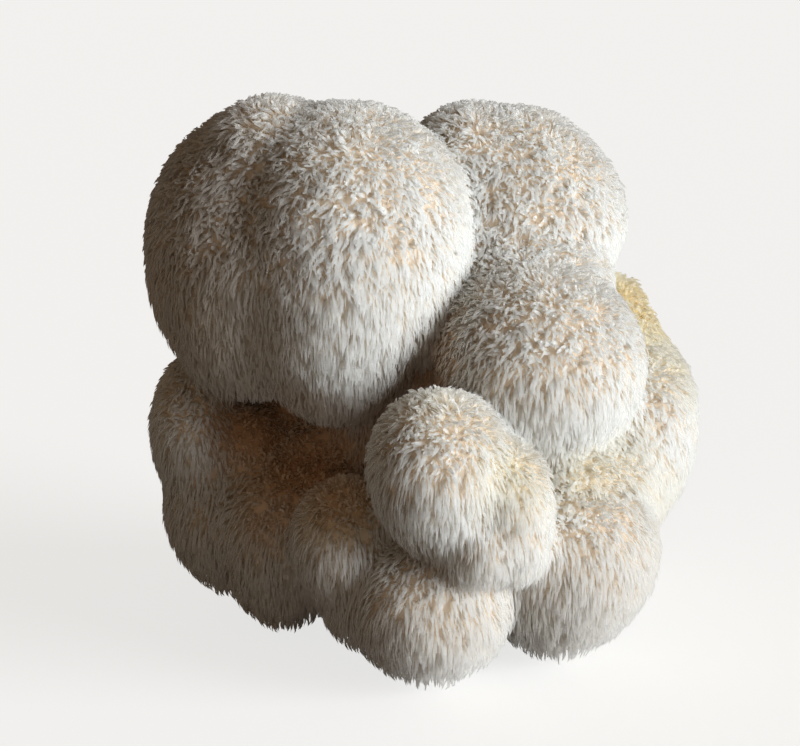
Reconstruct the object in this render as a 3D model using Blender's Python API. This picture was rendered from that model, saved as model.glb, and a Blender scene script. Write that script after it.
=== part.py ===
"""A lion's mane mushroom: one fruit body of swollen lobes under a coat of hanging spines.

The lobes are grown together as one piece of flesh. Each spine tapers from the flesh to a
point: the spines on top stand up short and lean downhill, and those on the sides and
under the lobes are longer and hang down. Underneath, in the middle, the body is cut off
flat where it grew from the wood, and it stands on that cut.

Standalone Blender 4.5 script. Metres, +Z up, origin on the floor under the middle of the
body. The front, which shows the most lobes, faces -Y. Tables of lobes are in millimetres.
"""

from dataclasses import dataclass
from math import radians
from random import Random

import bmesh
import bpy
from mathutils import Matrix, Vector
from mathutils.bvhtree import BVHTree

MM = 0.001

# How far the spine tips stand out from the flesh, on top, at the side and underneath.
REACH_TOP = 4.0 * MM
REACH_SIDE = 5.0 * MM
REACH_UNDER = 6.5 * MM
# How far a spine tip hangs downhill of its root, on top, at the side and underneath.
HANG_TOP = 1.5 * MM
HANG_SIDE = 7.0 * MM
HANG_UNDER = 4.0 * MM
# The flesh lies this far inside the lobes' outer size, so the spine tips reach that size.
FLESH_INSET = 4.5 * MM

# The cut where the body was taken off the wood: a disc facing down.
CUT_CENTRE = (2.0, 12.0)
CUT_RADIUS = 37.0
NECK_RADIUS = 46.0
NECK_HEIGHT = 44.0
NECK_OVERCUT = 8.0

# The flesh is modelled at FINE_STEP, then brought down to about FLESH_FACES triangles. It
# is roughened by EVENING first, so that the faces left, one for each spine, are of like size.
FINE_STEP = 3.0 * MM
SOFTEN_STEPS = 6
FLESH_FACES = 3180
EVENING = 0.8 * MM
EVENING_SEED = 5

# A spine keeps to this share of the free way in front of it, and off the floor.
FREE_SHARE = 0.38
FLOOR_GAP = 0.4 * MM
# Spines that would cut into each other are shortened, up to this many times.
SHORTENINGS = 12
SHORTER = 0.7
CUT_SNAP = 2.2 * MM
BARE_HEIGHT = 3.0 * MM

FLESH_COLOUR = (0.86, 0.82, 0.74, 1.0)
FLESH_ROUGHNESS = 0.6


@dataclass(frozen=True)
class Lobe:
    """One swelling of the body, an egg shape, in millimetres and degrees.

    tilt leans the top towards +X, and taper is how much wider the top half is than the
    middle (less than zero makes the lower half the wider one).
    """

    name: str
    centre: tuple[float, float, float]
    radii: tuple[float, float, float]
    tilt: float = 0.0
    taper: float = 0.0


FRONT_LOBES = (
    Lobe("great_left", (-65, 4, 163), (51.5, 52, 63), 8, 0.08),
    Lobe("left_crown", (-61, -6, 194), (34, 34, 37)),
    Lobe("great_right", (-33, -12, 161), (49.5, 52, 68), 6, 0.22),
    Lobe("upper_left", (20, 30, 187), (30.5, 36, 36.5), 0, 0.10),
    Lobe("upper_right", (37.5, 32, 180), (50, 46, 41.5), 7, -0.16),
    Lobe("middle", (46, -24, 126), (45, 43, 41), 10, -0.06),
    Lobe("front", (5, -74, 93), (29, 30, 34.5), 0, 0.10),
    Lobe("front_side", (34, -73, 76), (17.5, 21, 32), -5, 0.15),
    Lobe("bottom", (2, -59, 34), (34, 33, 33.5), -4),
    Lobe("bottom_left", (-22, -41, 32), (22.5, 29, 25)),
    Lobe("low_middle", (-31, -46, 55), (24.5, 28, 29.5), 1, 0.10),
    Lobe("low_right", (55.5, -30, 43.5), (42, 40, 43.5), 2, 0.12),
    Lobe("low_right_top", (72, -20, 70), (24, 28, 25)),
    Lobe("far_right", (94, 14, 86), (23.5, 36, 41), -3, 0.13),
    Lobe("knob", (83, 30, 130), (14, 20, 20)),
    Lobe("left_top", (-95, 14, 83), (22, 34, 35.5), -5, -0.04),
    Lobe("left_low", (-86, 12, 46), (25.5, 34, 34.5), -4, 0.22),
    Lobe("left_front", (-58.5, -5, 41.5), (30.5, 36, 40), -1, 0.16),
)

# The flesh that the front lobes swell from, and that fills the valleys between them.
JOINING_LOBES = (
    Lobe("heart", (6, 24, 106), (58, 48, 68)),
    Lobe("front_root", (12, -30, 82), (30, 34, 36)),
    Lobe("front_join", (22, -75, 66), (19, 23, 19.5)),
    Lobe("core", (-41, 50, 69), (56, 46, 60)),
    Lobe("saddle", (-38, 12, 68), (48, 26, 25)),
    Lobe("great_web", (-55, -1, 166), (53, 52, 46)),
    Lobe("left_web", (-76, 8, 66), (22, 26, 34)),
    Lobe("low_web", (-44, -16, 46), (22, 26, 34)),
    Lobe("right_shelf", (58, -22, 76), (30, 32, 22)),
    Lobe("right_web", (82, 0, 76), (26, 32, 40)),
    Lobe("upper_web", (40, 6, 152), (40, 34, 28)),
    Lobe("knob_web", (88, 22, 112), (17, 26, 28)),
)

BACK_LOBES = (
    Lobe("back_great", (-52, 50, 150), (46, 44, 56), 6, 0.12),
    Lobe("back_upper", (28, 60, 158), (46, 42, 46), 4, 0.05),
    Lobe("back_middle", (-10, 66, 104), (44, 38, 56)),
    Lobe("back_left_low", (-56, 58, 45), (42, 40, 43), 2, 0.12),
    Lobe("back_right_low", (48, 56, 46), (44, 40, 45), 0, 0.08),
    Lobe("back_right_high", (66, 48, 108), (36, 38, 44)),
)


def clear_scene() -> None:
    """Removes the objects of the file that the script runs in."""
    for obj in list(bpy.data.objects):
        bpy.data.objects.remove(obj, do_unlink=True)


def flesh_material() -> bpy.types.Material:
    """The creamy white of fresh spines and flesh."""
    material = bpy.data.materials.new("mushroom_flesh")
    material.use_nodes = True
    shader = material.node_tree.nodes["Principled BSDF"]
    shader.inputs["Base Color"].default_value = FLESH_COLOUR
    shader.inputs["Roughness"].default_value = FLESH_ROUGHNESS
    shader.inputs["Metallic"].default_value = 0.0
    return material


def add_lobe(form: bmesh.types.BMesh, lobe: Lobe) -> None:
    """Adds one egg-shaped lobe to the form, smaller than its outer size by the inset."""
    made = bmesh.ops.create_icosphere(form, subdivisions=4, radius=1.0)
    sizes = [radius * MM - FLESH_INSET for radius in lobe.radii]
    turn = Matrix.Rotation(radians(lobe.tilt), 3, "Y")
    centre = Vector(lobe.centre) * MM
    for vert in made["verts"]:
        width = 1.0 + lobe.taper * vert.co.z
        x = vert.co.x * sizes[0] * width
        y = vert.co.y * sizes[1] * width
        vert.co = centre + turn @ Vector((x, y, vert.co.z * sizes[2]))


def add_neck(form: bmesh.types.BMesh) -> None:
    """Adds the short neck that ends in the cut. It runs past the floor, to be cut there."""
    depth = (NECK_HEIGHT + NECK_OVERCUT) * MM
    middle = (NECK_HEIGHT - NECK_OVERCUT) * MM / 2
    bmesh.ops.create_cone(
        form,
        cap_ends=True,
        segments=48,
        radius1=CUT_RADIUS * MM,
        radius2=NECK_RADIUS * MM,
        depth=depth,
        matrix=Matrix.Translation((CUT_CENTRE[0] * MM, CUT_CENTRE[1] * MM, middle)),
    )


def modified_mesh(mesh: bpy.types.Mesh, settings: list[tuple[str, dict]]) -> bpy.types.Mesh:
    """The mesh after the given modifiers, each a type with its settings."""
    carrier = bpy.data.objects.new("carrier", mesh)
    bpy.context.scene.collection.objects.link(carrier)
    for kind, values in settings:
        modifier = carrier.modifiers.new(kind.lower(), kind)
        for name, value in values.items():
            setattr(modifier, name, value)
    graph = bpy.context.evaluated_depsgraph_get()
    result = bpy.data.meshes.new_from_object(carrier.evaluated_get(graph))
    bpy.data.objects.remove(carrier, do_unlink=True)
    return result


def roughened(mesh: bpy.types.Mesh) -> bpy.types.Mesh:
    """A copy of the mesh with each point moved a little in or out."""
    chance = Random(EVENING_SEED)
    rough = mesh.copy()
    outward = [vert.normal.copy() for vert in mesh.vertices]
    for vert, normal in zip(rough.vertices, outward):
        vert.co += normal * chance.uniform(-EVENING, EVENING)
    return rough


def fill_hollows(mesh: bpy.types.Mesh) -> None:
    """Fills any hollow closed in between lobes, by removing its walls. The body stays."""
    form = bmesh.new()
    form.from_mesh(mesh)
    unseen = set(form.verts)
    shells = []
    while unseen:
        start = unseen.pop()
        shell = [start]
        for vert in shell:
            for edge in vert.link_edges:
                other = edge.other_vert(vert)
                if other in unseen:
                    unseen.remove(other)
                    shell.append(other)
        shells.append(shell)
    body = max(shells, key=len)
    walls = [vert for shell in shells if shell is not body for vert in shell]
    bmesh.ops.delete(form, geom=walls, context="VERTS")
    form.to_mesh(mesh)
    form.free()


def fused_flesh() -> bpy.types.Mesh:
    """The lobes and the neck as one closed body, with softened creases between them."""
    form = bmesh.new()
    for lobe in FRONT_LOBES + JOINING_LOBES + BACK_LOBES:
        add_lobe(form, lobe)
    add_neck(form)
    mesh = bpy.data.meshes.new("lobes")
    form.to_mesh(mesh)
    form.free()
    fused = {"mode": "VOXEL", "voxel_size": FINE_STEP, "adaptivity": 0.0}
    softened = {"factor": 0.5, "iterations": SOFTEN_STEPS}
    fine = modified_mesh(mesh, [("REMESH", fused), ("SMOOTH", softened)])
    fill_hollows(fine)
    fine.calc_loop_triangles()
    share = FLESH_FACES / len(fine.loop_triangles)
    reduced = {"decimate_type": "COLLAPSE", "ratio": share, "use_collapse_triangulate": True}
    guide = bpy.data.objects.new("guide", fine)
    bpy.context.scene.collection.objects.link(guide)
    fitted = {"target": guide, "wrap_method": "NEAREST_SURFACEPOINT"}
    flesh = modified_mesh(roughened(fine), [("DECIMATE", reduced), ("SHRINKWRAP", fitted)])
    bpy.data.objects.remove(guide, do_unlink=True)
    return flesh


def cut_flat(form: bmesh.types.BMesh) -> None:
    """Cuts the form off at the floor and closes the cut with flat faces."""
    for vert in form.verts:
        if abs(vert.co.z) < CUT_SNAP:
            vert.co.z = 0.0
    everything = form.verts[:] + form.edges[:] + form.faces[:]
    bmesh.ops.bisect_plane(
        form,
        geom=everything,
        dist=0.1 * MM,
        plane_co=(0, 0, 0),
        plane_no=(0, 0, -1),
        clear_outer=True,
    )
    open_edges = [edge for edge in form.edges if edge.is_boundary]
    bmesh.ops.holes_fill(form, edges=open_edges, sides=0)
    bmesh.ops.triangulate(form, faces=[face for face in form.faces if len(face.verts) > 3])
    form.normal_update()


def blend(top: float, side: float, under: float, up: float) -> float:
    """A length by the way the flesh faces: up is 1 on top, 0 at the side, -1 under."""
    if up > 0:
        return side + (top - side) * up
    return side + (under - side) * -up


def spine_step(root: Vector, normal: Vector, tree: BVHTree) -> Vector:
    """The way from a spine's root to its tip: out, and downhill."""
    up = normal.z
    out = blend(REACH_TOP, REACH_SIDE, REACH_UNDER, up)
    hang = blend(HANG_TOP, HANG_SIDE, HANG_UNDER, up)
    downhill = Vector((0, 0, -1)) + normal * up
    step = normal * out + downhill * hang
    length = step.length
    way = step / length
    hit = tree.ray_cast(root + normal * 0.5 * MM, way, length * 4)
    if hit[3] is not None:
        step = way * min(length, hit[3] * FREE_SHARE)
    if root.z + step.z < FLOOR_GAP:
        step = step * max(0.0, (root.z - FLOOR_GAP) / -step.z)
    return step


def crossing_spines(form: bmesh.types.BMesh, tips: set[bmesh.types.BMVert]) -> set:
    """The tips of the spines that cut into another spine."""
    form.faces.ensure_lookup_table()
    tree = BVHTree.FromBMesh(form)
    found = set()
    for first, second in tree.overlap(tree):
        corners = set(form.faces[first].verts)
        others = set(form.faces[second].verts)
        if first < second and not corners & others:
            found |= (corners | others) & tips
    return found


def grow_spines(form: bmesh.types.BMesh) -> None:
    """Draws every face of the flesh out into one spine, apart from the cut and its rim."""
    tree = BVHTree.FromBMesh(form)
    faces = [face for face in form.faces if face.calc_center_median().z > BARE_HEIGHT]
    tips = bmesh.ops.poke(form, faces=faces)["verts"]
    roots = {}
    for tip in tips:
        root = tip.co.copy()
        roots[tip] = (root, spine_step(root, tip.link_faces[0].normal, tree))
    for tip, (root, step) in roots.items():
        tip.co = root + step
    for _ in range(SHORTENINGS):
        for tip in crossing_spines(form, set(tips)):
            tip.co = roots[tip][0].lerp(tip.co, SHORTER)


def fruit_body(material: bpy.types.Material) -> bpy.types.Object:
    """The whole mushroom: lobes, spines and the cut, grown as one closed piece."""
    form = bmesh.new()
    form.from_mesh(fused_flesh())
    cut_flat(form)
    grow_spines(form)
    bmesh.ops.recalc_face_normals(form, faces=form.faces[:])
    mesh = bpy.data.meshes.new("fruit_body")
    form.to_mesh(mesh)
    form.free()
    mesh.materials.append(material)
    body = bpy.data.objects.new("fruit_body", mesh)
    bpy.context.scene.collection.objects.link(body)
    return body


def main() -> None:
    """Builds the mushroom."""
    clear_scene()
    fruit_body(flesh_material())


main()
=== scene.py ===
"""The looks of a lion's mane mushroom: its flesh, its coat of spines and the studio round it.

The flesh is modelled from the same lobes as the solid, a little smaller, so that the spines
reach the solid's outer size. The spines are grown on it by one Geometry Nodes tree, and each
patch of lobes becomes one plain mesh. Metres, +Z up; the lobes, the tints, the neck and the
cut are given in millimetres.
"""

import logging
from dataclasses import dataclass, field
from enum import Enum
from math import cos, pi, radians, sin
from typing import Any

import bmesh
import bpy
import numpy as np
from bpy.types import Material, Mesh, Node, NodeOutputs, NodeSocket, NodeTree, Object
from mathutils import Matrix, Vector
from mathutils.bvhtree import BVHTree

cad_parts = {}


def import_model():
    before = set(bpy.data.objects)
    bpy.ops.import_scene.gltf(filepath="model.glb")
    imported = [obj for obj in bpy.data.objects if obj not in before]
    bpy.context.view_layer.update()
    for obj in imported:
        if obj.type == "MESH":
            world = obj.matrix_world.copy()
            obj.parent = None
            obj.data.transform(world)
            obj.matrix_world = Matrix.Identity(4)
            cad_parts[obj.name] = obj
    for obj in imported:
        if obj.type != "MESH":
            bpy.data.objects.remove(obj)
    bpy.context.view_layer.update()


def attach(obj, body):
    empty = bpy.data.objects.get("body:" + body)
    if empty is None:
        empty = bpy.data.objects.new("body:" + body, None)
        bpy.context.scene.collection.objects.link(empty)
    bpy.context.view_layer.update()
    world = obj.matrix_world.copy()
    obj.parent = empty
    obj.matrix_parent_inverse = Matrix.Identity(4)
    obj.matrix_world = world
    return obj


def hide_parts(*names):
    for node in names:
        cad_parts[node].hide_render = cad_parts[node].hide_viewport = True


log = logging.getLogger("lions_mane")

Colour = tuple[float, float, float, float]
Triple = tuple[float, float, float]
Range = tuple[float, float]

MM = 0.001
NODE = "fruit_body"
BODY = "root"
FLOOR_Z = 0.0
CUT_CENTRE = (2.0, 12.0)
CUT_RADIUS = 37.0
GOLDEN_TURN = pi * (3 - 5**0.5)
UNDERSIDE_LIMITS = (0.0, 0.6)
LEMON_LIMITS = (0.0, 0.6)
YELLOW_LIMITS = (0.45, 0.9)


class Patch(Enum):
    """A part of the cluster whose spines are one mesh."""

    GREAT_LEFT = 0
    GREAT_RIGHT = 1
    UPPER = 2
    MIDDLE = 3
    FRONT = 4
    LOW_FRONT = 5
    LOW_RIGHT = 6
    LEFT = 7
    BACK_HIGH = 8
    BACK_LOW = 9

    @property
    def piece_name(self) -> str:
        """The name of the patch's mesh of spines."""
        return f"spines_{self.name.lower()}"


class Draw(Enum):
    """The fixed seed of each random choice."""

    TONE = 1
    VIGOUR = 2
    ROOTS = 3
    LOOSE = 4
    CURL_WAY = 5
    CURL_TURN = 6
    THINNING = 8
    WIDTH = 9


@dataclass(frozen=True)
class Lobe:
    """One swelling of the body, an egg shape, in millimetres and degrees.

    tilt leans the top towards +X, and taper is how much wider the top half is than the
    middle (less than zero makes the lower half the wider one).
    """

    patch: Patch
    centre: Triple
    radii: Triple
    tilt: float = 0.0
    taper: float = 0.0


LOBES = (
    Lobe(Patch.GREAT_LEFT, (-65, 4, 163), (51.5, 52, 63), 8, 0.08),
    Lobe(Patch.GREAT_LEFT, (-61, -6, 194), (34, 34, 37)),
    Lobe(Patch.GREAT_RIGHT, (-33, -12, 161), (49.5, 52, 68), 6, 0.22),
    Lobe(Patch.UPPER, (20, 30, 187), (30.5, 36, 36.5), 0, 0.10),
    Lobe(Patch.UPPER, (37.5, 32, 180), (50, 46, 41.5), 7, -0.16),
    Lobe(Patch.MIDDLE, (46, -24, 126), (45, 43, 41), 10, -0.06),
    Lobe(Patch.FRONT, (5, -74, 93), (29, 30, 34.5), 0, 0.10),
    Lobe(Patch.FRONT, (34, -73, 76), (17.5, 21, 32), -5, 0.15),
    Lobe(Patch.LOW_FRONT, (2, -59, 34), (34, 33, 33.5), -4),
    Lobe(Patch.LOW_FRONT, (-22, -41, 32), (22.5, 29, 25)),
    Lobe(Patch.LOW_FRONT, (-31, -46, 55), (24.5, 28, 29.5), 1, 0.10),
    Lobe(Patch.LOW_RIGHT, (55.5, -30, 43.5), (42, 40, 43.5), 2, 0.12),
    Lobe(Patch.LOW_RIGHT, (72, -20, 70), (24, 28, 25)),
    Lobe(Patch.LOW_RIGHT, (94, 14, 86), (23.5, 36, 41), -3, 0.13),
    Lobe(Patch.LOW_RIGHT, (83, 30, 130), (14, 20, 20)),
    Lobe(Patch.LEFT, (-95, 14, 83), (22, 34, 35.5), -5, -0.04),
    Lobe(Patch.LEFT, (-86, 12, 46), (25.5, 34, 34.5), -4, 0.22),
    Lobe(Patch.LEFT, (-58.5, -5, 41.5), (30.5, 36, 40), -1, 0.16),
    Lobe(Patch.BACK_HIGH, (6, 24, 106), (58, 48, 68)),
    Lobe(Patch.FRONT, (12, -30, 82), (30, 34, 36)),
    Lobe(Patch.FRONT, (22, -75, 66), (19, 23, 19.5)),
    Lobe(Patch.LEFT, (-41, 50, 69), (56, 46, 60)),
    Lobe(Patch.LEFT, (-38, 12, 68), (48, 26, 25)),
    Lobe(Patch.GREAT_LEFT, (-55, -1, 166), (53, 52, 46)),
    Lobe(Patch.LEFT, (-76, 8, 66), (22, 26, 34)),
    Lobe(Patch.LEFT, (-44, -16, 46), (22, 26, 34)),
    Lobe(Patch.LOW_RIGHT, (58, -22, 76), (30, 32, 22)),
    Lobe(Patch.LOW_RIGHT, (82, 0, 76), (26, 32, 40)),
    Lobe(Patch.MIDDLE, (40, 6, 152), (40, 34, 28)),
    Lobe(Patch.LOW_RIGHT, (88, 22, 112), (17, 26, 28)),
    Lobe(Patch.BACK_HIGH, (-52, 50, 150), (46, 44, 56), 6, 0.12),
    Lobe(Patch.BACK_HIGH, (28, 60, 158), (46, 42, 46), 4, 0.05),
    Lobe(Patch.BACK_HIGH, (-10, 66, 104), (44, 38, 56)),
    Lobe(Patch.BACK_LOW, (-56, 58, 45), (42, 40, 43), 2, 0.12),
    Lobe(Patch.BACK_LOW, (48, 56, 46), (44, 40, 45), 0, 0.08),
    Lobe(Patch.BACK_LOW, (66, 48, 108), (36, 38, 44)),
)


@dataclass(frozen=True)
class Tint:
    """A place, in millimetres, that is coloured apart, with its reach and strength."""

    centre: Triple
    reach: float
    strength: float

    def nearness(self, places: np.ndarray) -> np.ndarray:
        """1 at the tint's centre, 0 at its reach and less than that beyond it."""
        away = np.linalg.norm(places - np.array(self.centre) * MM, axis=1)
        return 1 - away / (self.reach * MM)


YELLOW_PLACES = (
    Tint((83, 26, 134), 26, 1.0),
    Tint((32, -88, 98), 24, 0.38),
    Tint((2, -78, 130), 30, 0.25),
    Tint((76, -32, 86), 30, 0.28),
    Tint((52, -46, 80), 26, 0.25),
    Tint((98, 6, 116), 26, 0.40),
    Tint((-36, -62, 84), 26, 0.55),
    Tint((-62, -22, 80), 24, 0.40),
    Tint((96, -8, 60), 26, 0.25),
)

FELTED_PLACES = (
    Tint((-48, -22, 92), 42, 1.0),
    Tint((-15, -30, 92), 34, 1.0),
    Tint((-70, -6, 92), 26, 0.9),
    Tint((-34, -60, 84), 22, 0.7),
    Tint((10, -20, 120), 34, 0.8),
    Tint((-58, 6, 104), 30, 1.0),
    Tint((-66, -42, 68), 24, 0.45),
)


# ---------- Node trees ----------


class Value:
    """A number socket of a node tree, with arithmetic that adds the tree's Math nodes."""

    def __init__(self, tree: "Tree", socket: NodeSocket) -> None:
        """Wraps a socket of a tree."""
        self.tree = tree
        self.socket = socket

    def _math(self, operation: str, *others: Any) -> "Value":
        """One Math node on this value and the others."""
        return self.tree.math(operation, self, *others)

    def __add__(self, other: Any) -> "Value":
        """Sum."""
        return self._math("ADD", other)

    __radd__ = __add__

    def __sub__(self, other: Any) -> "Value":
        """Difference."""
        return self._math("SUBTRACT", other)

    def __rsub__(self, other: Any) -> "Value":
        """Difference with this value taken away."""
        return self.tree.math("SUBTRACT", other, self)

    def __mul__(self, other: Any) -> "Value":
        """Product."""
        return self._math("MULTIPLY", other)

    __rmul__ = __mul__

    def __rtruediv__(self, other: Any) -> "Value":
        """Another number divided by this value."""
        return self.tree.math("DIVIDE", other, self)

    def __pow__(self, other: Any) -> "Value":
        """Power."""
        return self._math("POWER", other)

    def high(self, other: Any) -> "Value":
        """The higher of the two."""
        return self._math("MAXIMUM", other)

    def over(self, limit: float) -> "Value":
        """1 where this is over the limit, and 0 elsewhere."""
        return self._math("GREATER_THAN", limit)

    def equals(self, other: Any) -> "Value":
        """1 where this is within a half of the other, and 0 elsewhere."""
        return self._math("COMPARE", other, 0.5)

    def sine(self) -> "Value":
        """Sine of this angle in radians."""
        return self._math("SINE")

    def cosine(self) -> "Value":
        """Cosine of this angle in radians."""
        return self._math("COSINE")

    def between(self, least: float, most: float) -> "Value":
        """least where this is 0 and most where it is 1, in a straight line."""
        return self * (most - least) + least

    def ramp(self, start: float, end: float) -> "Value":
        """0 below start and 1 above end, with a smooth step between them."""
        sockets = {"Value": self, "From Min": start, "From Max": end}
        return self.tree.number("ShaderNodeMapRange", {"interpolation_type": "SMOOTHSTEP"}, sockets)


class Arrow:
    """A vector socket of a node tree, with arithmetic that adds its Vector Math nodes."""

    def __init__(self, tree: "Tree", socket: NodeSocket) -> None:
        """Wraps a socket of a tree."""
        self.tree = tree
        self.socket = socket

    def _math(self, operation: str, sockets: dict) -> NodeOutputs:
        """The outputs of one Vector Math node on this vector."""
        sockets = {0: self, **sockets}
        return self.tree.node("ShaderNodeVectorMath", {"operation": operation}, sockets).outputs

    def _arrow(self, operation: str, sockets: dict) -> "Arrow":
        """The vector that one Vector Math node makes."""
        return Arrow(self.tree, self._math(operation, sockets)["Vector"])

    def _value(self, operation: str, sockets: dict) -> Value:
        """The number that one Vector Math node makes."""
        return Value(self.tree, self._math(operation, sockets)["Value"])

    def __add__(self, other: Any) -> "Arrow":
        """Sum."""
        return self._arrow("ADD", {1: other})

    def __sub__(self, other: Any) -> "Arrow":
        """Difference."""
        return self._arrow("SUBTRACT", {1: other})

    def __mul__(self, scale: Any) -> "Arrow":
        """This vector times a number."""
        return self._arrow("SCALE", {"Scale": scale})

    def stretch(self, by: Triple) -> "Arrow":
        """This vector times another, part by part."""
        return self._arrow("MULTIPLY", {1: by})

    def dot(self, other: Any) -> Value:
        """Dot product."""
        return self._value("DOT_PRODUCT", {1: other})

    def length(self) -> Value:
        """Its length."""
        return self._value("LENGTH", {})

    def cross(self, other: Any) -> "Arrow":
        """Cross product."""
        return self._arrow("CROSS_PRODUCT", {1: other})

    def unit(self) -> "Arrow":
        """The same direction at length 1."""
        return self._arrow("NORMALIZE", {})

    def along_surface(self, normal: "Arrow") -> "Arrow":
        """This vector without its part along the normal."""
        return self - normal * self.dot(normal)

    def parts(self) -> tuple[Value, Value, Value]:
        """Its X, Y and Z."""
        made = self.tree.node("ShaderNodeSeparateXYZ", {}, {0: self})
        return tuple(Value(self.tree, socket) for socket in made.outputs)


class Tree:
    """A node tree being built, of a material, of the world or of geometry."""

    def __init__(self, graph: NodeTree) -> None:
        """Starts on an existing tree."""
        self.graph = graph

    def node(self, kind: str, settings: dict, sockets: dict) -> Node:
        """Adds one node.

        Args:
            kind: the node's type.
            settings: its properties, set first.
            sockets: values or links by the socket's name or index.

        Returns:
            The new node.
        """
        made = self.graph.nodes.new(kind)
        for name, value in settings.items():
            setattr(made, name, value)
        self.give(made, sockets)
        return made

    def give(self, node: Node, sockets: dict) -> None:
        """Fills a node's inputs.

        Args:
            node: the node.
            sockets: values or links by the input's index, or by the name of a shown input.
        """
        for key, value in sockets.items():
            if isinstance(key, int):
                socket = node.inputs[key]
            else:
                socket = next(s for s in node.inputs if s.name == key and s.enabled)
            self._fill(socket, value)

    def _fill(self, socket: NodeSocket, value: Any) -> None:
        """Links a socket, or sets its value.

        Args:
            socket: the input.
            value: what it gets, which may be a list of links.
        """
        if isinstance(value, list):
            for one in value:
                self._fill(socket, one)
        elif isinstance(value, (Value, Arrow)):
            self.graph.links.new(value.socket, socket)
        elif isinstance(value, Node):
            self.graph.links.new(value.outputs[0], socket)
        elif isinstance(value, NodeSocket):
            self.graph.links.new(value, socket)
        else:
            socket.default_value = value

    @staticmethod
    def _output(node: Node, name: str) -> NodeSocket:
        """The node's first shown output, or its shown output of that name."""
        return next(s for s in node.outputs if s.enabled and name in ("", s.name))

    def number(self, kind: str, settings: dict, sockets: dict, output: str = "") -> Value:
        """Adds one node and returns its first shown output, or the named one, as a number."""
        return Value(self, self._output(self.node(kind, settings, sockets), output))

    def vector(self, kind: str, settings: dict, sockets: dict, output: str = "") -> Arrow:
        """Adds one node and returns its first shown output, or the named one, as a vector."""
        return Arrow(self, self._output(self.node(kind, settings, sockets), output))

    def math(self, operation: str, *numbers: Any) -> Value:
        """One Math node on the numbers."""
        sockets = dict(enumerate(numbers))
        return self.number("ShaderNodeMath", {"operation": operation}, sockets)

    def mixed(self, share: Any, first: Any, second: Any) -> Arrow:
        """A colour between two: first at share 0, and second at share 1."""
        sockets = {"Factor": share, "A": first, "B": second}
        return self.vector("ShaderNodeMix", {"data_type": "RGBA"}, sockets)

    def attribute(self, name: str) -> Value:
        """A number that the mesh carries under this name, read by a material."""
        return self.number("ShaderNodeAttribute", {"attribute_name": name}, {}, "Fac")

    def noise(self, place: Arrow, scale: Any, detail: float, distortion: float = 0.0) -> Value:
        """Smooth noise around 0.5 over the places."""
        sockets = {"Vector": place, "Scale": scale, "Detail": detail, "Distortion": distortion}
        return self.number("ShaderNodeTexNoise", {}, sockets, "Fac")

    def bump(self, strength: float, depth: float, height: Value) -> Node:
        """A Bump node for a material's normal."""
        sockets = {"Strength": strength, "Distance": depth, "Height": height}
        return self.node("ShaderNodeBump", {}, sockets)


# ---------- Flesh ----------


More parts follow.
